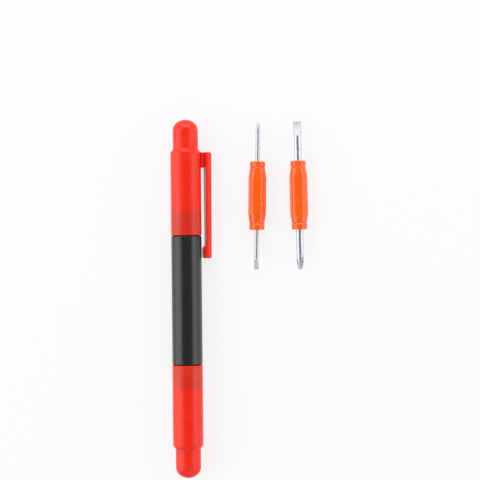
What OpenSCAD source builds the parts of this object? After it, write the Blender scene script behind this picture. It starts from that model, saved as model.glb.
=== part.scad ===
// Pocket screwdriver: a pen-shaped barrel with two push-on caps, a moulded pocket clip on
// the upper cap, and the two double-ended blades of the set lying beside it.
// Millimetres. The origin is the middle of the barrel, on its axis. +Y runs along the pen
// towards the clip and +Z is up. The pen lies on its caps and on the lower edge of the
// clip's root, and each blade lies on a flat of its six-sided sleeve.

/* [Barrel] */
// Length of the barrel that shows between the caps
grip_len = 51.3; // [36:0.1:80]
// How far the barrel lies below the surface of the caps
grip_inset = 0.05; // [0.05:0.05:0.5]
// Length of the neck at each end, which a cap slides over
neck_len = 10.3; // [7:0.1:14]
// Depth of the six-sided socket in each neck
socket_depth = 14; // [10:0.1:18]
// Diameter of the round bore below each socket
tip_bore_d = 4; // [3.6:0.1:5]

/* [Caps] */
// Diameter of both caps
cap_d = 12.1; // [11.5:0.1:15]
// Wall of both caps
cap_wall = 1.05; // [0.85:0.05:1.25]
// Length of the wide part of the upper cap
upper_body_len = 32.9; // [31:0.1:45]
// Length of the wide part of the lower cap
lower_body_len = 31.9; // [29:0.1:45]
// Length of the conical shoulder of a cap
shoulder_len = 1.4; // [0.8:0.1:2.4]
// Diameter of the narrow end of a cap
end_d = 10; // [9.6:0.1:10.8]
// Length of the narrow end of a cap, with its dome
end_len = 11.6; // [9:0.1:16]
// Height of the dome
dome_len = 4.3; // [2.5:0.1:5]

/* [Clip] */
// Length of the clip
clip_len = 42.1; // [39:0.1:44]
// Thickness of the clip at its middle
clip_t = 2.5; // [2.3:0.1:3]
// Gap between the cap and the clip
clip_gap = 1.6; // [1.5:0.1:2.5]
// Width of the clip at its root
clip_root_w = 7; // [6:0.1:8]
// Width of the clip at its free end
clip_end_w = 4.8; // [4:0.1:5.6]
// Length of the web that joins the clip to the cap
web_len = 6; // [4:0.1:8]
// Width of that web
web_w = 4.4; // [3:0.1:5]
// Length of the pad inside the free end
pad_len = 4; // [3:0.1:5.5]
// How far the pad stands in from the clip
pad_h = 1.05; // [0.6:0.05:1.1]
// Radius of the rounded outer edges of the clip
clip_round = 2.2; // [1.5:0.1:2.3]

/* [Blades] */
// Length of each double-ended blade
blade_len = 58.2; // [54:0.1:60]
// Length of the sleeve, with its collars
sleeve_len = 27; // [22:0.1:28]
// Width of the sleeve across its flats
sleeve_af = 6.7; // [6.5:0.1:6.8]
// Width of the sleeve across its rounded corners
sleeve_d = 7.2; // [6.9:0.1:7.4]
// Length of the round collar at each end of a sleeve
collar_len = 2.1; // [1.5:0.1:3]
// Diameter of the collar
collar_d = 6.1; // [5.8:0.1:6.2]
// Diameter of the waist behind the collar
waist_d = 5.7; // [5.2:0.1:5.7]
// Length of the swell from the waist to the corners of the sleeve
taper_len = 6; // [4:0.1:7]
// Diameter of the small rod
small_rod_d = 1.8; // [1.6:0.1:2.2]
// Diameter of the large rod
large_rod_d = 2.8; // [2.5:0.1:3]

/* [Tips] */
// Width of the small slotted tip
small_slot_w = 1.75; // [1.6:0.05:2]
// Thickness of the small slotted tip at its edge
small_slot_t = 0.35; // [0.25:0.05:0.5]
// Ground length of the small slotted tip
small_slot_len = 4; // [3:0.1:6]
// Width of the large slotted tip
large_slot_w = 3.25; // [2.9:0.05:3.5]
// Thickness of the large slotted tip at its edge
large_slot_t = 0.55; // [0.4:0.05:0.8]
// Ground length of the large slotted tip
large_slot_len = 5.7; // [4.5:0.1:8]
// Length of the flutes of the small cross tip
small_flute_len = 3.2; // [2.6:0.1:4.5]
// Length of the flutes of the large cross tip
large_flute_len = 5.8; // [4.5:0.1:7]

/* [Layout] */
// Distance from the pen to the small blade
small_blade_x = 28.2; // [20:0.1:32]
// Distance from the pen to the large blade
large_blade_x = 44.7; // [42:0.1:60]
// How far the blades lie beyond the middle of the barrel
blades_y = 41.1; // [0:0.1:60]
// Turn of the small blade on the surface, in degrees
small_blade_turn = -1.2; // [-5:0.1:5]
// Turn of the large blade on the surface, in degrees
large_blade_turn = 0.8; // [-5:0.1:5]

/* [Hidden] */
// Facets of a full circle
$fn = 96;
// Steps along a dome, from its rim to its crown
dome_steps = 12;
// Steps round an outer edge of the clip
round_steps = 6;
// Steps along the swell of a sleeve, and along the run-out of a slotted tip
swell_steps = 6;
runout_steps = 6;

// Clearances
// Radial gap between a neck and the bore of its cap
neck_gap = 0.05;
// Gap between the mouth of a cap and the step of the barrel
seat_gap = 0.05;
// Gap on each side of a sleeve in its socket
socket_gap = 0.1;
// Gap between a rod and the sleeve moulded round it
bond_gap = 0.02;
// Radial gap between the clip's round end and its seat
knuckle_gap = 0.06;
// Gap across the clip in front of and behind that seat
knuckle_slot = 0.25;
// How far every cut runs past the face that it opens
overrun = 1;

// Small edges
cap_edge = 0.25;
grip_edge = 0.3;
neck_edge = 0.5;
socket_edge = 0.5;
collar_edge = 0.2;
clip_corner = 0.7;
clip_end_corner = 1.4;
// How far outside the clip's side its rounding starts, so that the two meet at an angle
clip_round_out = 0.02;

// Barrel and caps
cap_r = cap_d / 2;
grip_r = cap_r - grip_inset;
cap_bore_r = cap_r - cap_wall;
neck_r = cap_bore_r - neck_gap;
end_r = end_d / 2;
mouth_z = grip_len / 2 + seat_gap;
neck_top = grip_len / 2 + neck_len;
socket_r = (sleeve_af / 2 + socket_gap) / cos(30);
// Room left beyond the tip of a seated blade
tip_room = 0.8;
bore_depth = socket_depth + (blade_len - sleeve_len) / 2 + tip_room;

// Clip, in the frame of the pen, which has its axis along Z and the clip on +X
clip_top = mouth_z + upper_body_len;
clip_end = clip_top - clip_len;
clip_in = cap_r + clip_gap;
clip_out = clip_in + clip_t;
clip_mid = clip_in + clip_t / 2;
pad_in = clip_in - pad_h;
// Shares that place the ramp of the pad and the clip's round end
pad_ramp_share = 0.4;
knuckle_share = 0.4;
knuckle_drop_share = 1.5;
pad_ramp = pad_len * pad_ramp_share;
knuckle_r = clip_t * knuckle_share;
knuckle_z = clip_top - web_len - knuckle_r * knuckle_drop_share;
// Lean of each side of the clip, which narrows from its root to its free end
clip_lean = atan2((clip_root_w - clip_end_w) / 2, clip_len - clip_end_corner);
// Centre of the rounded outer edge at the root of the clip
round_x = clip_out - clip_round;
round_y = clip_root_w / 2 + clip_round_out - clip_round;
// Roll at which that edge touches the surface that the caps lie on
rest_roll = asin((cap_r - clip_round) / norm([round_x, round_y])) - atan2(round_y, round_x);

// Blades
sleeve_r = sleeve_af / 2 / cos(30);
blade_z = sleeve_af / 2 - cap_r;
// Ears swaged on a rod, which keep it from turning in its sleeve
ear_len = 4;
ear_t = 0.8;
ear_h = 0.7;
// Shares of a rod's radius that shape its cross tip
flute_root_share = 0.27;
nose_r_share = 0.5;
nose_len_share = 0.5;
// Share of a slotted tip's ground length over which the rod spreads, and how far it
// spreads before its sides are ground to the tip's width
spread_share = 0.35;
spread_width_share = 1.02;
// Shares of the ground length and of the rod's radius that the run-out of its flats takes
runout_share = 0.28;
runout_depth_share = 0.55;

// Points of an arc in the XY plane
function arc(cx, cy, r, from, to, steps) =
    [for (i = [0:steps]) [cx + r * cos(from + (to - from) * i / steps),
                          cy + r * sin(from + (to - from) * i / steps)]];

// Points of a quarter ellipse from its rim to its crown
function dome(r, h, z) =
    [for (i = [0:dome_steps]) [r * cos(90 * i / dome_steps), z + h * sin(90 * i / dome_steps)]];

// Turns the pen from its own frame to how it lies
module lay_pen() {
    rotate([0, rest_roll, 0])
        rotate([-90, 0, 0])
            children();
}

// Turns a blade from its own frame, with its axis along Z, to how it lies
module lay_blade(x, turn) {
    translate([x, blades_y, blade_z])
        rotate([0, 0, turn])
            rotate([-90, 0, 0])
                children();
}

// Extrudes an XZ outline along Y, centred
module across(width) {
    rotate([90, 0, 0])
        translate([0, 0, -width / 2])
            linear_extrude(width)
                children();
}

// Socket and tip bore of one end of the barrel, cut from its end face at z = neck_top
module socket_cut() {
    translate([0, 0, neck_top - socket_depth])
        cylinder(r = socket_r, h = socket_depth + overrun, $fn = 6);
    translate([0, 0, neck_top - bore_depth])
        cylinder(d = tip_bore_d, h = bore_depth);
    translate([0, 0, neck_top - socket_edge])
        cylinder(r1 = socket_r - socket_edge, r2 = socket_r + socket_edge, h = 2 * socket_edge);
}

module barrel() {
    half = [[neck_r - neck_edge, neck_top],
            [neck_r, neck_top - neck_edge],
            [neck_r, grip_len / 2],
            [grip_r - grip_edge, grip_len / 2],
            [grip_r, grip_len / 2 - grip_edge]];
    outline = concat([[0, neck_top]],
                     half,
                     [for (i = [len(half) - 1:-1:0]) [half[i].x, -half[i].y]],
                     [[0, -neck_top]]);
    color([0.14, 0.15, 0.15])
        lay_pen()
            difference() {
                rotate_extrude()
                    polygon(outline);
                socket_cut();
                mirror([0, 0, 1])
                    socket_cut();
            }
}

// Outside of a cap, with its mouth at z = 0
module cap_outside(body_len) {
    end_z = body_len + shoulder_len;
    rotate_extrude()
        polygon(concat([[0, 0],
                        [cap_r - cap_edge, 0],
                        [cap_r, cap_edge],
                        [cap_r, body_len],
                        [end_r, end_z]],
                       dome(end_r, dome_len, end_z + end_len - dome_len)));
}

// Hollow of a cap, open through its mouth
module cap_hollow(body_len) {
    step_z = body_len - cap_wall / 2;
    rotate_extrude()
        polygon(concat([[0, -overrun],
                        [cap_bore_r + cap_edge, -overrun],
                        [cap_bore_r + cap_edge, 0],
                        [cap_bore_r, cap_edge],
                        [cap_bore_r, step_z],
                        [end_r - cap_wall, step_z + shoulder_len]],
                       dome(end_r - cap_wall, dome_len - cap_wall / 2,
                            body_len + shoulder_len + end_len - dome_len - cap_wall / 2)));
}

// Bar with one leaning side, whose outer edge is rounded
module clip_side() {
    section = concat([[pad_in - overrun, 0]],
                     arc(round_x, -clip_round, clip_round, 90, 0, round_steps),
                     [[clip_out, -2 * clip_root_w],
                      [pad_in - overrun, -2 * clip_root_w]]);
    translate([0, clip_root_w / 2 + clip_round_out, clip_top])
        rotate([-clip_lean, 0, 0])
            translate([0, 0, -clip_len - overrun])
                linear_extrude(clip_len + 2 * overrun)
                    polygon(section);
}

// The whole bar of the clip, which its root and its arm are cut from
module clip_bar() {
    half = concat([[clip_root_w / 2 + overrun * tan(clip_lean), clip_top + overrun]],
                  arc(clip_end_w / 2 - clip_end_corner, clip_end + clip_end_corner, clip_end_corner,
                      0, -90, 5));
    outline = concat(half, [for (i = [len(half) - 1:-1:0]) [-half[i].x, half[i].y]]);
    intersection() {
        rotate([90, 0, 90])
            linear_extrude(clip_out + overrun)
                polygon(outline);
        clip_side();
        mirror([0, 1, 0])
            clip_side();
    }
}

// Web and head of the clip, moulded in one with the upper cap
module clip_root() {
    head = concat([[clip_in, knuckle_z + knuckle_slot],
                   [clip_out + overrun, knuckle_z + knuckle_slot],
                   [clip_out + overrun, clip_top - clip_corner - overrun]],
                  arc(clip_out - clip_corner, clip_top - clip_corner, clip_corner, 20, 90, 4),
                  [[clip_in, clip_top]]);
    difference() {
        intersection() {
            clip_bar();
            across(2 * clip_root_w)
                polygon(head);
        }
        translate([clip_mid, 0, knuckle_z])
            rotate([90, 0, 0])
                cylinder(r = knuckle_r + knuckle_gap, h = 2 * clip_root_w, center = true);
    }
    translate([cap_bore_r - overrun, -web_w / 2, clip_top - web_len])
        cube([clip_in + knuckle_r / 2 - cap_bore_r + overrun, web_w, web_len]);
}

module upper_cap() {
    color([0.88, 0.13, 0.1])
        lay_pen()
            difference() {
                union() {
                    translate([0, 0, mouth_z])
                        cap_outside(upper_body_len);
                    clip_root();
                }
                translate([0, 0, mouth_z])
                    cap_hollow(upper_body_len);
            }
}

module pocket_clip() {
    arm = concat([[clip_in, knuckle_z],
                  [clip_in, clip_end + pad_len + pad_ramp],
                  [pad_in, clip_end + pad_len]],
                 arc(pad_in + clip_corner, clip_end + clip_corner, clip_corner, 180, 270, 4),
                 arc(clip_out - clip_corner, clip_end + clip_corner, clip_corner, -90, -20, 4),
                 [[clip_out + overrun, clip_end + clip_corner + overrun],
                  [clip_out + overrun, knuckle_z]]);
    color([0.88, 0.13, 0.1])
        lay_pen()
            intersection() {
                clip_bar();
                union() {
                    across(2 * clip_root_w)
                        polygon(arm);
                    translate([clip_mid, 0, knuckle_z])
                        rotate([90, 0, 0])
                            cylinder(r = knuckle_r, h = 2 * clip_root_w, center = true);
                }
            }
}

module lower_cap() {
    color([0.88, 0.13, 0.1])
        lay_pen()
            mirror([0, 0, 1])
                translate([0, 0, mouth_z])
                    difference() {
                        cap_outside(lower_body_len);
                        cap_hollow(lower_body_len);
                    }
}

// Ears of a rod, or with a gap the pocket that they sit in
module ears(rod_r, gap) {
    cube([2 * (rod_r + ear_h + gap), ear_t + 2 * gap, ear_len + 2 * gap], center = true);
}

// Rod with its slotted tip at +Z and its cross tip at -Z
module rod(rod_r, slot_w, slot_t, slot_len, flute_len) {
    top = blade_len / 2;
    spread_r = max(rod_r, slot_w / 2 * spread_width_share);
    spread_z = top - slot_len * (1 - spread_share);
    nose_len = flute_len * nose_len_share;
    flute_root = rod_r * flute_root_share;
    flute_tilt = atan2(rod_r - flute_root, flute_len);
    // The flats run out in an arc, as the rim of a grinding wheel leaves them
    runout_len = slot_len * runout_share;
    runout_depth = rod_r * runout_depth_share;
    runout_turn = 2 * atan2(runout_depth, runout_len);
    runout_r = runout_len / sin(runout_turn);
    flat = concat([[rod_r + overrun, top - slot_len]],
                  arc(rod_r - runout_depth + runout_r, top - slot_len + runout_len, runout_r,
                      180 + runout_turn, 180, runout_steps),
                  [[slot_t / 2, top],
                   [slot_t / 2, top + overrun],
                   [rod_r + overrun, top + overrun]]);
    difference() {
        union() {
            rotate_extrude()
                polygon([[0, -top],
                         [rod_r * nose_r_share, -top],
                         [rod_r, nose_len - top],
                         [rod_r, top - slot_len],
                         [spread_r, spread_z],
                         [spread_r, top],
                         [0, top]]);
            ears(rod_r, 0);
        }
        for (side = [0, 180])
            rotate([0, 0, side]) {
                rotate([90, 0, 90])
                    translate([0, 0, -slot_w])
                        linear_extrude(2 * slot_w)
                            polygon(flat);
                translate([slot_w / 2, -spread_r - overrun, top - slot_len])
                    cube([overrun, 2 * (spread_r + overrun), slot_len + overrun]);
            }
        for (turn = [45:90:315])
            rotate([0, 0, turn])
                translate([flute_root, 0, -top])
                    rotate([0, flute_tilt, 0])
                        rotate([0, 0, -45])
                            translate([0, 0, -overrun])
                                cube([2 * rod_r, 2 * rod_r, flute_len + 2 * overrun]);
    }
}

// Six-sided sleeve that swells from a waist behind the round collar at each end
module sleeve(rod_r) {
    end_z = sleeve_len / 2;
    waist_z = end_z - collar_len;
    rise = (sleeve_d - waist_d) / 2;
    half = concat([[collar_d / 2 - collar_edge, end_z],
                   [collar_d / 2, end_z - collar_edge],
                   [collar_d / 2, waist_z]],
                  [for (i = [0:swell_steps])
                      [waist_d / 2 + rise * sin(90 * i / swell_steps), waist_z - taper_len * i / swell_steps]]);
    outline = concat([[0, end_z]],
                     half,
                     [for (i = [len(half) - 1:-1:0]) [half[i].x, -half[i].y]],
                     [[0, -end_z]]);
    difference() {
        intersection() {
            cylinder(r = sleeve_r, h = sleeve_len + overrun, center = true, $fn = 6);
            rotate_extrude()
                polygon(outline);
        }
        cylinder(r = rod_r + bond_gap, h = sleeve_len + overrun, center = true);
        ears(rod_r, bond_gap);
    }
}

module small_rod() {
    color([0.72, 0.73, 0.75])
        lay_blade(small_blade_x, small_blade_turn)
            rotate([0, 180, 0])
                rod(small_rod_d / 2, small_slot_w, small_slot_t, small_slot_len, small_flute_len);
}

module small_sleeve() {
    color([1, 0.4, 0.1])
        lay_blade(small_blade_x, small_blade_turn)
            sleeve(small_rod_d / 2);
}

module large_rod() {
    color([0.72, 0.73, 0.75])
        lay_blade(large_blade_x, large_blade_turn)
            rod(large_rod_d / 2, large_slot_w, large_slot_t, large_slot_len, large_flute_len);
}

module large_sleeve() {
    color([1, 0.4, 0.1])
        lay_blade(large_blade_x, large_blade_turn)
            sleeve(large_rod_d / 2);
}

barrel();
upper_cap();
pocket_clip();
lower_cap();
small_rod();
small_sleeve();
large_rod();
large_sleeve();
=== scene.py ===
"""Looks of the pocket screwdriver: a barrel with two caps and a clip, and two loose blades."""

import math

import bmesh
import bpy
from mathutils import Matrix, Vector


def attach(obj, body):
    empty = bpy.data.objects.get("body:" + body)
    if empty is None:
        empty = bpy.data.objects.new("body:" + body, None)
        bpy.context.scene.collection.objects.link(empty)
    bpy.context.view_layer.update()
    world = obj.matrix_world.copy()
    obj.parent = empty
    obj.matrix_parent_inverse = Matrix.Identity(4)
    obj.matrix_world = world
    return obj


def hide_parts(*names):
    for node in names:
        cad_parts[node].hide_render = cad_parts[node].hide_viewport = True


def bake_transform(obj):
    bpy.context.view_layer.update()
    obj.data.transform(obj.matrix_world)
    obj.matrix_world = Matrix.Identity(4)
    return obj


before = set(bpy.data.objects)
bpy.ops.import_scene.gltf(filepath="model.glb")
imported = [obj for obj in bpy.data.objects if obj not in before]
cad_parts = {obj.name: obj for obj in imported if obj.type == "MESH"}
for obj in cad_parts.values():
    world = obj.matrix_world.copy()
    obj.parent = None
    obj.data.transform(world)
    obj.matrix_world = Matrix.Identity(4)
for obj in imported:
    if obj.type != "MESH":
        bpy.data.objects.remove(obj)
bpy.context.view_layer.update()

# Sizes in millimetres and turns in degrees, as the CAD source has them. The pen's own frame has
# its axis along Z and the clip on +X; a blade's own frame has its axis along Z and its slotted
# tip at +Z.
MM = 0.001
GRIP_LEN, GRIP_R = 51.3, 6.0
NECK_LEN, NECK_R, NECK_EDGE = 10.3, 4.95, 0.5
CAP_R, CAP_WALL, CAP_EDGE, SEAT_GAP = 6.05, 1.05, 0.25, 0.05
UPPER_BODY_LEN, LOWER_BODY_LEN = 32.9, 31.9
SHOULDER_LEN, END_R, END_LEN, DOME_LEN = 1.4, 5.0, 11.6, 4.3
CLIP_LEN, CLIP_T, CLIP_GAP = 42.1, 2.5, 1.6
CLIP_ROOT_W, CLIP_END_W, CLIP_ROUND = 7.0, 4.8, 2.2
CLIP_CORNER, CLIP_END_CORNER = 0.7, 1.4
WEB_LEN, WEB_W = 6.0, 4.4
PAD_LEN, PAD_RAMP, PAD_H = 4.0, 1.6, 1.05
BLADE_LEN, SLEEVE_LEN, SLEEVE_AF, SLEEVE_D = 58.2, 27.0, 6.7, 7.2
COLLAR_LEN, COLLAR_R, WAIST_R, TAPER_LEN = 2.1, 3.05, 2.85, 6.0
SOCKET_DEPTH, SOCKET_GAP, SOCKET_EDGE = 14.0, 0.1, 0.5
TIP_BORE_R, TIP_ROOM, BOND_GAP = 2.0, 0.8, 0.02
OVERRUN = 1
BLADES_Y = 41.1
SMALL_BLADE_X, SMALL_BLADE_TURN = 28.2, -1.2
LARGE_BLADE_X, LARGE_BLADE_TURN = 44.7, 0.8
REST_ROLL = 19.1104

HEX = math.cos(math.pi / 6)
NECK_TOP = GRIP_LEN / 2 + NECK_LEN
MOUTH_Z = GRIP_LEN / 2 + SEAT_GAP
CAP_BORE_R = CAP_R - CAP_WALL
CLIP_TOP = MOUTH_Z + UPPER_BODY_LEN
CLIP_END = CLIP_TOP - CLIP_LEN
CLIP_IN = CAP_R + CLIP_GAP
CLIP_OUT = CLIP_IN + CLIP_T
SLEEVE_R = SLEEVE_AF / 2 / HEX
SOCKET_R = (SLEEVE_AF / 2 + SOCKET_GAP) / HEX
BORE_DEPTH = SOCKET_DEPTH + (BLADE_LEN - SLEEVE_LEN) / 2 + TIP_ROOM
FLOOR_Z = -CAP_R
BLADE_Z = SLEEVE_AF / 2 - CAP_R

LAY_PEN = (
    Matrix.Scale(MM, 4)
    @ Matrix.Rotation(math.radians(REST_ROLL), 4, "Y")
    @ Matrix.Rotation(math.radians(-90), 4, "X")
)
FLIP = Matrix.Rotation(math.pi, 4, "X")


def lay_blade(x, turn, flipped):
    """Matrix from a blade's own frame to how it lies."""
    lay = (
        Matrix.Scale(MM, 4)
        @ Matrix.Translation((x, BLADES_Y, BLADE_Z))
        @ Matrix.Rotation(math.radians(turn), 4, "Z")
        @ Matrix.Rotation(math.radians(-90), 4, "X")
    )
    return lay @ Matrix.Rotation(math.pi, 4, "Y") if flipped else lay


# Mesh helpers

# Share of a side that one rounded corner may take, and the half angle of a corner that is
# straight enough to stay as it is
CORNER_SHARE = 0.48
STRAIGHT = math.radians(89.5)


def arc(cx, cy, radius, start, end, steps):
    """Points of an arc, from one angle in degrees to another."""
    angles = [math.radians(start + (end - start) * i / steps) for i in range(steps + 1)]
    return [(cx + radius * math.cos(a), cy + radius * math.sin(a)) for a in angles]


def unit(vector):
    """A flat vector, brought to length 1."""
    length = math.hypot(*vector)
    return (vector[0] / length, vector[1] / length)


def rounded(path, closed=False, steps=5):
    """A path of (x, y, corner radius) as plain points, with each corner rounded."""
    count = len(path)
    out = []
    for i, (x, y, radius) in enumerate(path):
        if radius == 0 or (not closed and i in (0, count - 1)):
            out += [(x, y)]
            continue
        before, after = path[i - 1], path[(i + 1) % count]
        u = unit((before[0] - x, before[1] - y))
        v = unit((after[0] - x, after[1] - y))
        half = math.acos(max(-1, min(1, u[0] * v[0] + u[1] * v[1]))) / 2
        if half > STRAIGHT:
            out += [(x, y)]
            continue
        room = CORNER_SHARE * min(
            math.hypot(before[0] - x, before[1] - y),
            math.hypot(after[0] - x, after[1] - y),
        )
        reach = min(radius / math.tan(half), room)
        radius = reach * math.tan(half)
        mid = unit((u[0] + v[0], u[1] + v[1]))
        cx = x + mid[0] * radius / math.sin(half)
        cy = y + mid[1] * radius / math.sin(half)
        a = math.atan2(y + u[1] * reach - cy, x + u[0] * reach - cx)
        b = math.atan2(y + v[1] * reach - cy, x + v[0] * reach - cx)
        turn = (b - a + math.pi) % (2 * math.pi) - math.pi
        out += arc(cx, cy, radius, math.degrees(a), math.degrees(a + turn), steps)
    return out


def mesh_object(name, bm, materials, smooth_angle=40):
    """A new object from a bmesh, smooth except at edges sharper than the angle."""
    bmesh.ops.recalc_face_normals(bm, faces=bm.faces)
    for face in bm.faces:
        face.smooth = True
    limit = math.radians(smooth_angle)
    for edge in bm.edges:
        edge.smooth = len(edge.link_faces) == 2 and edge.calc_face_angle(0) < limit
    mesh = bpy.data.meshes.new(name)
    bm.to_mesh(mesh)
    bm.free()
    for material in materials:
        mesh.materials.append(material)
    obj = bpy.data.objects.new(name, mesh)
    bpy.context.scene.collection.objects.link(obj)
    return obj


def ring_loft(rings, matrix, loop=False):
    """A bmesh through rings of (x, y, z) points. A ring of one point closes an end, and a loop
    joins the last ring to the first."""
    bm = bmesh.new()
    rows = [[bm.verts.new(matrix @ Vector(point)) for point in points] for points in rings]
    for a, b in zip(rows, rows[1:] + rows[:1] if loop else rows[1:]):
        count = max(len(a), len(b))
        for i in range(count):
            j = (i + 1) % count
            corners = [a[i % len(a)], a[j % len(a)], b[j % len(b)], b[i % len(b)]]
            bm.faces.new(list(dict.fromkeys(corners)))
    if not loop:
        for row in (rows[0], rows[-1]):
            if len(row) > 1:
                bm.faces.new(row)
    return bm


# Angles of a ring. Those of a hexagon crowd towards its six corners, the first at angle 0.
TURNS, HEX_TURNS, CROWDING = 144, 24, 1.6
ROUND_ANGLES = [2 * math.pi * i / TURNS for i in range(TURNS)]
OFFSETS = [(2 * i - HEX_TURNS) / HEX_TURNS for i in range(HEX_TURNS)]
HEX_ANGLES = [
    math.pi / 3 * corner + math.copysign(math.pi / 6 * abs(t) ** CROWDING, t)
    for corner in range(6)
    for t in OFFSETS
]


def ring(radius, z, angles=ROUND_ANGLES):
    """Ring of points. The radius is a number or a function of the angle."""
    if radius == 0:
        return [(0, 0, z)]
    reach = radius if callable(radius) else lambda t: radius
    return [(reach(t) * math.cos(t), reach(t) * math.sin(t), z) for t in angles]


def mirrored(rings):
    """The rings in reverse order, on the other side of z = 0."""
    return [[(x, y, -z) for x, y, z in row] for row in rings[::-1]]


def lathe(path, matrix):
    """A closed lathe from a path of (radius, z, corner radius)."""
    return ring_loft([ring(r, z) for r, z in rounded(path)], matrix)


def hexagon(radius, ease):
    """Radius by angle of a hexagon whose corners have the radius ease."""
    centre = radius - ease / HEX

    def reach(angle):
        a = abs((angle + math.pi / 6) % (math.pi / 3) - math.pi / 6)
        if a < math.atan2(ease / 2, centre + ease * HEX):
            return centre * math.cos(a) + math.sqrt(ease**2 - (centre * math.sin(a)) ** 2)
        return radius * HEX / math.cos(math.pi / 6 - a)

    return reach


def smooth_min(a, b, blend):
    """The lower of two numbers, with a soft change where they are closer than blend."""
    near = max(blend - abs(a - b), 0) / blend
    return min(a, b) - near * near * blend / 4


def within(shape, limit, blend):
    """Radius by angle of a shape that a circle limits, with a soft edge where they meet."""
    return lambda t: smooth_min(shape(t), limit, blend)


def beyond(shape, limit, blend):
    """Radius by angle of a shape that a circle widens, with a soft edge where they meet."""
    return lambda t: -smooth_min(-shape(t), -limit, blend)


def dome(radius, height, z, steps=16):
    """Quarter ellipse from its rim to its crown, without the rim."""
    out = []
    for i in range(1, steps + 1):
        a = math.pi / 2 * i / steps
        r = radius * math.cos(a) if i < steps else 0
        out += [(r, z + height * math.sin(a), 0)]
    return out


def shortfall(radius, depth):
    """How far a rounded corner stays short of its edge, at a depth into the corner."""
    return radius - math.sqrt(max(0, radius**2 - depth**2)) if depth > 0 else 0


# Material helpers

WHITE = (1, 1, 1)


def add(tree, kind, values=None, **settings):
    """A new node with these settings, and these values on its inputs."""
    made = tree.nodes.new(kind)
    for key, value in settings.items():
        setattr(made, key, value)
    for key, value in (values or {}).items():
        made.inputs[key].default_value = value
    return made


def noise(tree, vector, scale, detail=2.0, rough=0.5):
    """Noise from 0 to 1. The scale is in repeats to the metre."""
    made = add(tree, "ShaderNodeTexNoise", {"Scale": scale, "Detail": detail, "Roughness": rough})
    tree.links.new(vector, made.inputs["Vector"])
    return made.outputs["Fac"]


def spread(tree, value, span, ends):
    """The value, mapped from one span of numbers to another and held at its ends."""
    limits = dict(zip(("From Min", "From Max", "To Min", "To Max"), (*span, *ends)))
    made = add(tree, "ShaderNodeMapRange", limits)
    tree.links.new(value, made.inputs["Value"])
    return made.outputs["Result"]


def maths(tree, operation, *values):
    """Result of a Math node. Each value is a number or another node's output."""
    made = add(tree, "ShaderNodeMath", operation=operation)
    for value, socket in zip(values, made.inputs):
        if isinstance(value, float):
            socket.default_value = value
        else:
            tree.links.new(value, socket)
    return made.outputs[0]


def colour_ones(sockets):
    """The colour sockets of a Mix node, which has others of the same names."""
    return [socket for socket in sockets if socket.type == "RGBA"]


def two_tones(tree, value, dark, light):
    """Colour between two tones by a value from 0 to 1."""
    made = add(tree, "ShaderNodeMix", data_type="RGBA")
    for socket, tone in zip(colour_ones(made.inputs), (dark, light)):
        socket.default_value = (*tone, 1)
    tree.links.new(value, made.inputs["Factor"])
    return colour_ones(made.outputs)[0]


def bump(tree, height, distance, strength, before=None):
    """Normal that follows a height in metres, on top of the normal before it."""
    made = add(tree, "ShaderNodeBump", {"Strength": strength, "Distance": distance})
    tree.links.new(height, made.inputs["Height"])
    if before:
        tree.links.new(before, made.inputs["Normal"])
    return made.outputs["Normal"]


def stretched(tree, place, scale):
    """The coordinates, scaled along each axis."""
    made = add(tree, "ShaderNodeMapping", {"Scale": scale})
    tree.links.new(place, made.inputs["Vector"])
    return made.outputs["Vector"]


def mixed_shaders(tree, share, first, second):
    """Shader between two others by a share from 0 to 1."""
    made = add(tree, "ShaderNodeMixShader")
    tree.links.new(share, made.inputs["Fac"])
    tree.links.new(first.outputs[0], made.inputs[1])
    tree.links.new(second.outputs[0], made.inputs[2])
    return made.outputs[0]


def new_material(name, **constants):
    """A material with one Principled shader, and the object coordinates to work from."""
    material = bpy.data.materials.new(name)
    material.use_nodes = True
    tree = material.node_tree
    shader = tree.nodes["Principled BSDF"]
    for key, value in constants.items():
        shader.inputs[key.replace("_", " ")].default_value = value
    place = add(tree, "ShaderNodeTexCoord").outputs["Object"]
    return material, tree, shader, place


# Materials

# Scales of the plastics' textures: clouds of tone, rubbed gloss, waves of the skin, and grain
CLOUDS, RUBS, WAVES, GRAINS = 260, 1500, 420, 5200
CLOUD_SPAN, RUB_SPAN = (0.3, 0.7), (0.3, 0.75)
RUB_STRETCH = (1, 0.12, 1)
WAVE_DEPTH, WAVE_STRENGTH = 0.006, 0.6

# Scales of the steels' textures: patches of tone, and marks
PATCHES, MARKS = 500, 1000
PATCH_SPAN, MARK_SPAN = (0.35, 0.65), (0.3, 0.7)
MARK_STRENGTH = 0.7

# How far before and after the neck's end the painted shade of a cap fades out, and from where
# to where behind the mouth it fades in, all in millimetres. LIP_CLEAR is how clear of it the lip
# is, and the neck's tone multiplies the cap's colour where the black neck lies behind the
# translucent wall: painted shade of the neck seen through the red plastic.
FADE_BEFORE, FADE_AFTER = 2.1, 0.7
LIP_FROM, LIP_TO, LIP_CLEAR = 0.3, 1.1, 0.6
NECK_SHADE_TONE = (0.79, 1.3, 2.4)


def plastic(name, dark, light, gloss, grain, **constants):
    """Moulded plastic: cloudy tone, uneven gloss and a fine skin texture. gloss is the lowest
    and highest roughness and grain the depth of the texture in millimetres."""
    material, tree, shader, place = new_material(name, **constants)
    tone = spread(tree, noise(tree, place, CLOUDS, detail=3), CLOUD_SPAN, (0, 1))
    tree.links.new(two_tones(tree, tone, dark, light), shader.inputs["Base Color"])
    along = stretched(tree, place, RUB_STRETCH)
    rub = spread(tree, noise(tree, along, RUBS, detail=4, rough=0.6), RUB_SPAN, gloss)
    tree.links.new(rub, shader.inputs["Roughness"])
    skin = bump(tree, noise(tree, place, WAVES), WAVE_DEPTH * MM, WAVE_STRENGTH)
    fine = bump(tree, noise(tree, place, GRAINS), grain * MM, 1.0, skin)
    tree.links.new(fine, shader.inputs["Normal"])
    return material


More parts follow.
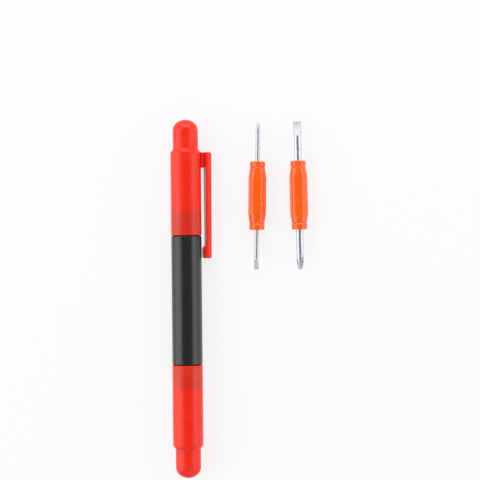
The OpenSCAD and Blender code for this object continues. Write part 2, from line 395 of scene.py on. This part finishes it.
def steel(name, dark, light, gloss, grooves, depth):
    """Bright steel with fine marks. gloss is the lowest and highest roughness, grooves how close
    the marks lie along each axis, and depth how deep they are in millimetres."""
    material, tree, shader, place = new_material(name, Metallic=1.0)
    marks = noise(tree, stretched(tree, place, grooves), MARKS, detail=3, rough=0.65)
    tone = spread(tree, noise(tree, place, PATCHES, detail=3), PATCH_SPAN, (0, 1))
    tree.links.new(two_tones(tree, tone, dark, light), shader.inputs["Base Color"])
    tree.links.new(spread(tree, marks, MARK_SPAN, gloss), shader.inputs["Roughness"])
    tree.links.new(bump(tree, marks, depth * MM, MARK_STRENGTH), shader.inputs["Normal"])
    return material


def paint_neck_shade(material, barrel, tone):
    """Paint shade into a material's colour where the black neck lies behind it, seen through the
    translucent wall. The place is taken in the frame of the barrel, so the painted shade stays
    with the neck when the cap is off."""
    tree = material.node_tree
    shader = tree.nodes["Principled BSDF"]
    colour = shader.inputs["Base Color"].links[0].from_socket
    apart = add(tree, "ShaderNodeSeparateXYZ")
    place = add(tree, "ShaderNodeTexCoord", object=barrel).outputs["Object"]
    tree.links.new(place, apart.inputs[0])
    along = maths(tree, "ABSOLUTE", apart.outputs["Y"])
    fade = ((NECK_TOP - FADE_BEFORE) * MM, (NECK_TOP + FADE_AFTER) * MM)
    lip = ((MOUTH_Z + LIP_FROM) * MM, (MOUTH_Z + LIP_TO) * MM)
    clear = maths(
        tree,
        "MAXIMUM",
        spread(tree, along, fade, (0, 1)),
        spread(tree, along, lip, (LIP_CLEAR, 0)),
    )
    shade = two_tones(tree, clear, tone, WHITE)
    made = add(tree, "ShaderNodeMix", {"Factor": 1.0}, data_type="RGBA", blend_type="MULTIPLY")
    for value, socket in zip((colour, shade), colour_ones(made.inputs)):
        tree.links.new(value, socket)
    tree.links.new(colour_ones(made.outputs)[0], shader.inputs["Base Color"])


BARREL = plastic(
    "barrel_plastic_look",
    dark=(0.0115, 0.0120, 0.0125),
    light=(0.0145, 0.0150, 0.0155),
    gloss=(0.26, 0.34),
    grain=0.0025,
    IOR=1.53,
)
# Painted shade: a darker, matte black for the step in the gap under each cap's mouth
GAP_PAINTED_SHADE = plastic(
    "gap_painted_shade_look",
    dark=(0.0035, 0.0036, 0.0038),
    light=(0.0045, 0.0046, 0.0048),
    gloss=(0.55, 0.65),
    grain=0.0025,
    IOR=1.15,
)
BARREL_LOOKS = [BARREL, GAP_PAINTED_SHADE]
# Place of the step's painted shade look in that list
GAP = 1

CAP, CLIP = [
    plastic(
        name,
        dark=(0.84, 0.019, 0.0020),
        light=(0.88, 0.024, 0.0030),
        gloss=gloss,
        grain=0.002,
        IOR=1.45,
        Subsurface_Weight=1.0,
        Subsurface_Radius=(1.0, 0.05, 0.03),
        Subsurface_Scale=0.5 * MM,
    )
    for name, gloss in (("cap_plastic_look", (0.33, 0.43)), ("clip_plastic_look", (0.27, 0.35)))
]
SLEEVE = plastic(
    "sleeve_plastic_look",
    dark=(0.96, 0.108, 0.003),
    light=(1.0, 0.126, 0.006),
    gloss=(0.17, 0.22),
    grain=0.0004,
    IOR=1.58,
    Subsurface_Weight=0.4,
    Subsurface_Radius=(1.0, 0.25, 0.08),
    Subsurface_Scale=0.8 * MM,
)
DRAWN_STEEL = steel(
    "drawn_steel",
    dark=(0.58, 0.60, 0.64),
    light=(0.66, 0.68, 0.72),
    gloss=(0.36, 0.44),
    grooves=(8, 0.35, 8),
    depth=0.0005,
)
GROUND_STEEL = steel(
    "ground_steel",
    dark=(0.65, 0.67, 0.71),
    light=(0.74, 0.76, 0.80),
    gloss=(0.56, 0.68),
    grooves=(0.5, 9, 9),
    depth=0.003,
)
FLUTE_STEEL = steel(
    "flute_steel",
    dark=(0.58, 0.60, 0.66),
    light=(0.68, 0.70, 0.76),
    gloss=(0.50, 0.60),
    grooves=(9, 0.5, 9),
    depth=0.002,
)
BLADE_LOOKS = [DRAWN_STEEL, GROUND_STEEL, FLUTE_STEEL]
# Places of the cut looks in that list
GROUND, FLUTED = 1, 2


# Pieces


def dressed(obj, body, nodes):
    """The object, riding on its body in place of its CAD nodes."""
    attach(obj, body)
    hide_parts(*nodes)
    return obj


# Barrel

# The step beside each cap's mouth, where a face nearer to its ends than the margin isn't one of
# its own, and the rounding of the barrel's edges
STEP_LEN, STEP_R, STEP_MARGIN = 0.34, 5.7, 0.01
BORE_FLOOR_EASE, BORE_RIM_EASE, NECK_END_EASE, NECK_EDGE_EASE = 0.2, 0.1, 0.15, 0.3
NECK_ROOT_EASE, STEP_RIM_EASE, STEP_ROOT_EASE, GRIP_EASE = 0.08, 0.05, 0.08, 0.12
# The socket's corners and flared mouth, and as (inset, rise) the rings that round its floor
SOCKET_CORNER, SOCKET_BLEND, SOCKET_FLARE, SOCKET_STEPS = 0.15, 0.12, 0.3, 12
SOCKET_FLOOR = ((0.25, 0.0), (0.06, 0.06), (0.0, 0.25))
# How far the rims reach outwards, of the bore in the socket's floor and of the socket
BORE_RIM, SOCKET_RIM = 0.4, 0.1


def barrel_piece():
    """Grip with a neck at each end, and in each neck the six-sided socket and its bore."""
    floor = NECK_TOP - SOCKET_DEPTH
    bottom = NECK_TOP - BORE_DEPTH
    shoulder = GRIP_LEN / 2
    bore = [
        (0, bottom, 0),
        (TIP_BORE_R, bottom, BORE_FLOOR_EASE),
        (TIP_BORE_R, floor, BORE_RIM_EASE),
        (TIP_BORE_R + BORE_RIM, floor, 0),
    ]
    rings = [ring(r, z, HEX_ANGLES) for r, z in rounded(bore)]
    for inset, rise in SOCKET_FLOOR:
        rings += [ring(hexagon(SOCKET_R - inset, SOCKET_CORNER), floor + rise, HEX_ANGLES)]
    for i in range(SOCKET_STEPS + 1):
        rise = (SOCKET_EDGE + SOCKET_FLARE) * (i / SOCKET_STEPS - 1)
        shape = beyond(hexagon(SOCKET_R, SOCKET_CORNER), SOCKET_R + rise, SOCKET_BLEND)
        rings += [ring(shape, NECK_TOP + rise, HEX_ANGLES)]
    outside = [
        (SOCKET_R + SOCKET_RIM, NECK_TOP, 0),
        (NECK_R - NECK_EDGE, NECK_TOP, NECK_END_EASE),
        (NECK_R, NECK_TOP - NECK_EDGE, NECK_EDGE_EASE),
        (NECK_R, shoulder, NECK_ROOT_EASE),
        (STEP_R, shoulder, STEP_RIM_EASE),
        (STEP_R, shoulder - STEP_LEN, STEP_ROOT_EASE),
        (GRIP_R, shoulder - STEP_LEN, GRIP_EASE),
        (GRIP_R, 0, 0),
    ]
    rings += [ring(r, z, HEX_ANGLES) for r, z in rounded(outside)]
    bm = ring_loft(rings + mirrored(rings[:-1]), LAY_PEN)
    # The step is matte and darker: painted shade in the gap under each cap's mouth
    for face in bm.faces:
        up = abs(face.calc_center_median().y) / MM
        if shoulder - STEP_LEN + STEP_MARGIN < up < shoulder - STEP_MARGIN:
            face.material_index = GAP
    obj = mesh_object("barrel_skin", bm, BARREL_LOOKS)
    return dressed(obj, "barrel", ["barrel"])


# Caps

# Rounding of the hollow's steps, the mouth, and the outer shoulder and the end's root
HOLLOW_EASE, MOUTH_IN_EASE, LIP_EASE, SHOULDER_EASE, END_ROOT_EASE = 0.4, 0.06, 0.32, 0.3, 0.35


def cap_piece(name, body_len, matrix):
    """Cap from the crown of its hollow, round its mouth at z = 0, to the crown of its dome."""
    end_z = body_len + SHOULDER_LEN
    rim_z = end_z + END_LEN - DOME_LEN
    step_z = body_len - CAP_WALL / 2
    inner_r, inner_rim_z = END_R - CAP_WALL, rim_z - CAP_WALL / 2
    inner = [
        (CAP_BORE_R, CAP_EDGE, 0),
        (CAP_BORE_R, step_z, HOLLOW_EASE),
        (inner_r, step_z + SHOULDER_LEN, HOLLOW_EASE),
        (inner_r, inner_rim_z, 0),
    ] + dome(inner_r, DOME_LEN - CAP_WALL / 2, inner_rim_z)
    outer = [
        (CAP_BORE_R + CAP_EDGE, 0, MOUTH_IN_EASE),
        (CAP_R, 0, LIP_EASE),
        (CAP_R, body_len, SHOULDER_EASE),
        (END_R, end_z, END_ROOT_EASE),
        (END_R, rim_z, 0),
    ] + dome(END_R, DOME_LEN, rim_z)
    bm = lathe(inner[::-1] + outer, matrix @ Matrix.Translation((0, 0, MOUTH_Z)))
    dressed(mesh_object(name + "_skin", bm, [CAP]), name, [name])


# Clip

# Edges of its section that face the cap: the largest rounding, and the most of the half width
# and of the thickness that it takes. The outer ones take a share of the half width at most, and
# leave a little of the side between them and the inner ones.
INNER_EASE, INNER_WIDE_SHARE, INNER_DEEP_SHARE = 0.4, 0.6, 0.12
OUTER_WIDE_SHARE, SIDE_LEFT = 0.95, 0.02
INNER_STEPS, OUTER_STEPS = 4, 14
# Steps of the head, the arm and the tail. The clip stops a little below its top, and at nearly
# the whole of its tail's corner.
HEAD_STEPS, ARM_STEPS, TAIL_STEPS = 7, 90, 9
HEAD_SHORT, TAIL_SHARE = 0.002, 0.999


def clip_ring(z):
    """Closed section of the clip at height z, as (x, y, z) points."""
    low = CLIP_END + CLIP_END_CORNER
    lean = (CLIP_ROOT_W - CLIP_END_W) / 2 / (CLIP_TOP - low)
    half = CLIP_END_W / 2 + lean * max(0, z - low)
    ramp = max(0, min(1, (CLIP_END + PAD_LEN + PAD_RAMP - z) / PAD_RAMP))
    x_in = CLIP_IN - PAD_H * ramp * ramp * (3 - 2 * ramp)
    head = shortfall(CLIP_CORNER, z - (CLIP_TOP - CLIP_CORNER))
    tail = shortfall(CLIP_CORNER, CLIP_END + CLIP_CORNER - z)
    x_out = CLIP_OUT - head - tail
    x_in += tail
    half -= head / 2 + shortfall(CLIP_END_CORNER, low - z)
    edge = min(INNER_EASE, half * INNER_WIDE_SHARE, (x_out - x_in) * INNER_DEEP_SHARE)
    bend = min(CLIP_ROUND, half * OUTER_WIDE_SHARE, x_out - x_in - edge - SIDE_LEFT)
    points = arc(x_in + edge, edge - half, edge, 180, 270, INNER_STEPS)
    points += arc(x_out - bend, bend - half, bend, 270, 360, OUTER_STEPS)
    points += arc(x_out - bend, half - bend, bend, 0, 90, OUTER_STEPS)
    points += arc(x_in + edge, half - edge, edge, 90, 180, INNER_STEPS)
    return [(x, y, z) for x, y in points]


def clip_piece():
    """Clip from its head down its arm to its tail."""
    low, high = CLIP_END + CLIP_END_CORNER, CLIP_TOP - CLIP_CORNER
    levels = [
        CLIP_TOP - CLIP_CORNER * (1 - math.cos(math.pi / 2 * i / HEAD_STEPS))
        for i in range(HEAD_STEPS + 1)
    ]
    levels += [high + (low - high) * i / ARM_STEPS for i in range(1, ARM_STEPS + 1)]
    levels += [
        low - CLIP_END_CORNER * math.sin(math.pi / 2 * i / TAIL_STEPS) * TAIL_SHARE
        for i in range(1, TAIL_STEPS + 1)
    ]
    levels[0] -= HEAD_SHORT
    bm = ring_loft([clip_ring(z) for z in levels], LAY_PEN)
    obj = mesh_object("clip_skin", bm, [CLIP])
    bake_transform(obj)
    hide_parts("pocket_clip")


# Web

# Its flare and edges, how deep it stands in the cap and in the clip, and how far it stays below
# the clip's head
WEB_FLARE, WEB_EASE, WEB_STEPS = 0.5, 0.3, 16
WEB_IN_CAP, WEB_IN_CLIP, WEB_DROP = 0.35, 0.25, 0.03


def web_piece():
    """Web from the cap to the clip, flared where it meets each."""
    x_from, x_to = CAP_R - WEB_IN_CAP, CLIP_IN + WEB_IN_CLIP
    rings = []
    for i in range(WEB_STEPS + 1):
        x = x_from + (x_to - x_from) * i / WEB_STEPS
        grow = shortfall(WEB_FLARE, WEB_FLARE - min(abs(x - x_from), abs(x_to - x)))
        half = WEB_W / 2 + grow
        z_low, z_high = CLIP_TOP - WEB_LEN - grow, CLIP_TOP - WEB_DROP
        corners = ((-half, z_low), (half, z_low), (half, z_high), (-half, z_high))
        path = [(y, z, WEB_EASE) for y, z in corners]
        rings += [[(x, y, z) for y, z in rounded(path, closed=True)]]
    obj = mesh_object("clip_web", ring_loft(rings, LAY_PEN), [CLIP])
    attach(obj, "upper_cap")


# Sleeves

# The six sides' eased corners, the rim of the bore, and the rounding of the collar. Behind the
# collar, measured from the waist: the collar's back, the waist, and where the six sides begin,
# a little wider than the waist. After the taper comes the plain part.
SIDE_EASE, SIDE_BLEND, SIDE_STEPS, SIDE_ANGLE = 2.0, 0.05, 30, 30
RIM_DEPTH, RIM_WIDE, RIM_EASE = 0.15, 0.12, 0.06
COLLAR_EASE, COLLAR_BACK_EASE, WAIST_EASE = 0.3, 0.2, 0.15
COLLAR_BACK, WAIST_AT, SIDES_AT, SIDES_RISE = 0.05, 0.27, 0.4, 0.07
PLAIN_AFTER = 0.4


def sleeve_piece(name, body, rod_r, matrix):
    """Six-sided sleeve that swells from a waist behind the round collar at each end."""
    end = SLEEVE_LEN / 2
    waist = end - COLLAR_LEN
    first = waist - SIDES_AT
    collar = [
        (rod_r + BOND_GAP, end - RIM_DEPTH, 0),
        (rod_r + RIM_WIDE, end, RIM_EASE),
        (COLLAR_R, end, COLLAR_EASE),
        (COLLAR_R, waist + COLLAR_BACK, COLLAR_BACK_EASE),
        (WAIST_R, waist - WAIST_AT, WAIST_EASE),
        (WAIST_R + SIDES_RISE, first, 0),
    ]
    half = [ring(r, z, HEX_ANGLES) for r, z in rounded(collar)]
    shape = hexagon(SLEEVE_R, SIDE_EASE)
    for i in range(1, SIDE_STEPS + 1):
        z = first - (TAPER_LEN - SIDES_AT) * i / SIDE_STEPS
        rise = (SLEEVE_D / 2 - WAIST_R) * math.sin(math.pi / 2 * (waist - z) / TAPER_LEN)
        half += [ring(within(shape, WAIST_R + rise, SIDE_BLEND), z, HEX_ANGLES)]
    half += [ring(shape, waist - TAPER_LEN - PLAIN_AFTER, HEX_ANGLES)]
    bm = ring_loft(half + mirrored(half), matrix, loop=True)
    obj = mesh_object(name + "_skin", bm, [SLEEVE], SIDE_ANGLE)
    dressed(obj, body, [name])


# Rods

# Shares of the rod's radius: the root between the flutes, and the nose. Share of the ground
# length, from the slotted tip: where the rod has spread to its full width, which is a little
# more than the tip's.
ROOT_SHARE, NOSE_SHARE, SPREAD_AT, SPREAD_SHARE = 0.27, 0.5, 0.65, 1.02
NOSE_EASE, CONE_EASE, SPREAD_EASE, TIP_EASE = 0.12, 0.8, 1.0, 0.05
# The ground flats: their steps, and the power by which they thin towards the tip
FLAT_STEPS, FLAT_POWER = 14, 1.5
# How far the slotted tip's cutters reach past the rod
CUT_ROOM = 2
# Points closer than this are joined, edges sharper than this angle are eased by this width, and
# edges sharper than the last angle look sharp
JOIN, EASE_ANGLE, EASE_WIDE, ROD_ANGLE = 0.001, 30, 0.045, 25


def apply_modifiers(obj):
    """Apply all modifiers of the object."""
    graph = bpy.context.evaluated_depsgraph_get()
    mesh = bpy.data.meshes.new_from_object(obj.evaluated_get(graph), depsgraph=graph)
    obj.modifiers.clear()
    old = obj.data
    obj.data = mesh
    bpy.data.meshes.remove(old)


def cutter(rings, matrix, look):
    """Closed cutter through two outlines of (x, y, z). look is the material of its cut."""
    bm = ring_loft(rings, matrix)
    for face in bm.faces:
        face.material_index = look
    return bm


def prism(path, half_width, matrix):
    """Cutter with an outline of (x, z), across Y."""
    rings = [[(x, y, z) for x, z in path] for y in (-half_width, half_width)]
    return cutter(rings, matrix, GROUND)


def slot_cutters(rod_r, slot_w, slot_t, slot_len):
    """Cutters of the slotted tip's two sides and two ground flats."""
    top = BLADE_LEN / 2
    far = rod_r + CUT_ROOM
    flat = [(far, top - slot_len)]
    for i in range(FLAT_STEPS + 1):
        reach = 1 - i / FLAT_STEPS
        depth = slot_t / 2 + (rod_r - slot_t / 2) * reach**FLAT_POWER
        flat += [(depth, top - slot_len * reach)]
    flat += [(slot_t / 2, top + OVERRUN), (far, top + OVERRUN)]
    side = [
        (slot_w / 2, top - slot_len),
        (far, top - slot_len),
        (far, top + OVERRUN),
        (slot_w / 2, top + OVERRUN),
    ]
    made = []
    for k in range(2):
        turn = Matrix.Rotation(math.pi * k, 4, "Z")
        made += [prism(side, far, turn)]
        made += [prism(flat, 2 * slot_w, turn @ Matrix.Rotation(math.pi / 2, 4, "Z"))]
    return made


def flute_cutters(rod_r, flute_len):
    """Cutters of the cross tip's four flutes, which slope in towards its nose."""
    root = rod_r * ROOT_SHARE
    tilt = math.atan2(rod_r - root, flute_len)
    flute = [(0, 0), (2 * rod_r, 0), (2 * rod_r, 2 * rod_r), (0, 2 * rod_r)]
    made = []
    for k in range(4):
        place = (
            Matrix.Rotation(math.radians(45 + 90 * k), 4, "Z")
            @ Matrix.Translation((root, 0, -BLADE_LEN / 2))
            @ Matrix.Rotation(tilt, 4, "Y")
            @ Matrix.Rotation(math.radians(-45), 4, "Z")
        )
        ends = [[(x, y, z) for x, y in flute] for z in (-OVERRUN, flute_len + OVERRUN)]
        made += [cutter(ends, place, FLUTED)]
    return made


def rod_piece(name, body, matrix, rod_r, slot_w, slot_t, slot_len, flute_len, cone_len):
    """Rod with its ground slotted tip at +Z and its fluted cross tip at -Z."""
    top = BLADE_LEN / 2
    spread_r = max(rod_r, slot_w / 2 * SPREAD_SHARE)
    path = [
        (0, -top, 0),
        (rod_r * NOSE_SHARE, -top, NOSE_EASE),
        (rod_r, cone_len - top, CONE_EASE),
        (rod_r, top - slot_len, SPREAD_EASE),
        (spread_r, top - slot_len * SPREAD_AT, SPREAD_EASE),
        (spread_r, top, TIP_EASE),
        (0, top, 0),
    ]
    blank = mesh_object(name, lathe(path, Matrix.Identity(4)), BLADE_LOOKS)
    tools = []
    for bm in slot_cutters(rod_r, slot_w, slot_t, slot_len) + flute_cutters(rod_r, flute_len):
        tools += [mesh_object(name + "_cut", bm, BLADE_LOOKS)]
        cut = blank.modifiers.new("cut", "BOOLEAN")
        cut.operation, cut.solver, cut.object = "DIFFERENCE", "EXACT", tools[-1]
    apply_modifiers(blank)
    for tool in tools:
        bpy.data.meshes.remove(tool.data)
    bm = bmesh.new()
    bm.from_mesh(blank.data)
    bmesh.ops.remove_doubles(bm, verts=bm.verts, dist=JOIN)
    bmesh.ops.transform(bm, matrix=matrix, verts=bm.verts)
    bpy.data.objects.remove(blank)
    obj = mesh_object(name + "_skin", bm, BLADE_LOOKS, ROD_ANGLE)
    ease = obj.modifiers.new("ease", "BEVEL")
    ease.width, ease.segments, ease.limit_method = EASE_WIDE * MM, 2, "ANGLE"
    ease.angle_limit = math.radians(EASE_ANGLE)
    ease.use_clamp_overlap = True
    ease.harden_normals = True
    dressed(obj, body, [name])


# Rods' radii, and the widths, thicknesses and ground lengths of their slotted tips, and the
# lengths of their flutes and of the cones behind their noses
SMALL_ROD = {
    "rod_r": 0.9,
    "slot_w": 1.75,
    "slot_t": 0.35,
    "slot_len": 4.0,
    "flute_len": 3.2,
    "cone_len": 2.7,
}
LARGE_ROD = {
    "rod_r": 1.4,
    "slot_w": 3.25,
    "slot_t": 0.55,
    "slot_len": 5.7,
    "flute_len": 5.8,
    "cone_len": 2.9,
}

# Painted shade on the caps where the black neck lies behind their translucent wall
paint_neck_shade(CAP, barrel_piece(), NECK_SHADE_TONE)
cap_piece("upper_cap", UPPER_BODY_LEN, LAY_PEN)
cap_piece("lower_cap", LOWER_BODY_LEN, LAY_PEN @ FLIP)
clip_piece()
web_piece()
for blade, rod, lay in (
    ("small", SMALL_ROD, lay_blade(SMALL_BLADE_X, SMALL_BLADE_TURN, flipped=True)),
    ("large", LARGE_ROD, lay_blade(LARGE_BLADE_X, LARGE_BLADE_TURN, flipped=False)),
):
    rod_piece(blade + "_rod", blade + "_blade", lay, **rod)
    sleeve_piece(blade + "_sleeve", blade + "_blade", rod["rod_r"], lay)


# Camera

# It leans from straight above towards the clip, and turns a little about its own axis. Its
# distance is in metres, and the point that it aims at is in millimetres from the origin.
CAMERA_LEAN, CAMERA_ROLL, CAMERA_FAR = math.radians(8), math.radians(0.555), 0.565
MM_PER_PIXEL, IMAGE_SIDE, SENSOR = 0.397, 480, 36.0
TARGET_RIGHT, TARGET_UP = 21.06, 23.85
VIEW_START, VIEW_END = 0.01, 10

back = Vector((math.sin(CAMERA_LEAN), 0, math.cos(CAMERA_LEAN)))
level = Vector((math.cos(CAMERA_LEAN), 0, -math.sin(CAMERA_LEAN)))
ahead = Vector((0, 1, 0))
right = level * math.cos(CAMERA_ROLL) - ahead * math.sin(CAMERA_ROLL)
up = level * math.sin(CAMERA_ROLL) + ahead * math.cos(CAMERA_ROLL)


def facing(right_way, up_way, back_way, place):
    """Matrix of a camera or lamp that looks against back_way."""
    return Matrix.Translation(place) @ Matrix((right_way, up_way, back_way)).transposed().to_4x4()


data = bpy.data.cameras.new("camera")
data.sensor_width = SENSOR
data.lens = SENSOR * CAMERA_FAR / (MM_PER_PIXEL * MM * IMAGE_SIDE)
data.clip_start, data.clip_end = VIEW_START, VIEW_END
camera = bpy.data.objects.new("camera", data)
bpy.context.scene.collection.objects.link(camera)
target = (right * TARGET_RIGHT + up * TARGET_UP) * MM
camera.matrix_world = facing(right, up, back, target + back * CAMERA_FAR)
bpy.context.scene.camera = camera


# Light and floor

# Distance of the lamps, and the point that they face, in metres
LAMPS_FAR = 1.0
LAMPS_CENTRE = Vector((0.021, 0.0, 0.0))


def panel(name, right_deg, up_deg, wide, long, radiance):
    """A soft area lamp that faces the object, at angles off the camera's direction, to its right
    and upwards."""
    a, b = math.radians(right_deg), math.radians(up_deg)
    way = (
        back * math.cos(a) * math.cos(b)
        + level * math.sin(a) * math.cos(b)
        + ahead * math.sin(b)
    )
    lamp = bpy.data.lights.new(name, "AREA")
    lamp.shape, lamp.size, lamp.size_y = "RECTANGLE", wide, long
    lamp.energy = radiance * math.pi * wide * long
    obj = bpy.data.objects.new(name, lamp)
    # A lamp at the side has its length along Y, and one ahead or behind has it along X
    across = ahead if up_deg == 0 else Vector((1, 0, 0))
    side = across.cross(way).normalized()
    obj.matrix_world = facing(side, way.cross(side), way, LAMPS_CENTRE + way * LAMPS_FAR)
    obj.visible_camera = False
    bpy.context.scene.collection.objects.link(obj)


panel("left_panel", right_deg=-69, up_deg=0, wide=1.0, long=1.2, radiance=2.3)
panel("right_panel", right_deg=71, up_deg=0, wide=1.0, long=1.2, radiance=2.05)
panel("far_panel", right_deg=0, up_deg=58, wide=0.6, long=1.6, radiance=3.5)
panel("near_panel", right_deg=0, up_deg=-56, wide=0.8, long=1.6, radiance=1.1)

# The world lights the object dimly, and the camera sees it as white
WORLD_LEVEL = 0.10

world = bpy.data.worlds.new("world")
world.use_nodes = True
tree = world.node_tree
tree.nodes.clear()
out = add(tree, "ShaderNodeOutputWorld")
path = add(tree, "ShaderNodeLightPath")
dim = add(tree, "ShaderNodeBackground", {"Color": (*WHITE, 1), "Strength": WORLD_LEVEL})
white = add(tree, "ShaderNodeBackground", {"Color": (*WHITE, 1), "Strength": 1.0})
mix = mixed_shaders(tree, path.outputs["Is Camera Ray"], dim, white)
tree.links.new(mix, out.inputs["Surface"])
bpy.context.scene.world = world

# To the camera and in reflections the floor is part lit and part plain white, so it stays pale
# and keeps the shadow
GLOW_SHARE = 0.8
FLOOR_REACH, FLOOR_SIDES = 0.9, 96
FLOOR_CLOUDS, FLOOR_DARK, FLOOR_LIGHT = 30, (0.80, 0.80, 0.80), (0.82, 0.82, 0.82)

floor_material, tree, shader, place = new_material("floor", Roughness=0.9)
pale = two_tones(tree, noise(tree, place, FLOOR_CLOUDS), FLOOR_DARK, FLOOR_LIGHT)
tree.links.new(pale, shader.inputs["Base Color"])
path = add(tree, "ShaderNodeLightPath")
seen = maths(tree, "MAXIMUM", path.outputs["Is Camera Ray"], path.outputs["Is Glossy Ray"])
share = maths(tree, "MULTIPLY", seen, GLOW_SHARE)
glow = add(tree, "ShaderNodeEmission", {"Color": (*WHITE, 1), "Strength": 1.0})
mix = mixed_shaders(tree, share, shader, glow)
tree.links.new(mix, tree.nodes["Material Output"].inputs["Surface"])
bm = bmesh.new()
bmesh.ops.create_circle(bm, cap_ends=True, segments=FLOOR_SIDES, radius=FLOOR_REACH)
bmesh.ops.translate(bm, verts=bm.verts, vec=(0, 0, FLOOR_Z * MM))
mesh_object("floor", bm, [floor_material])

bpy.context.scene.view_settings.view_transform = "Standard"
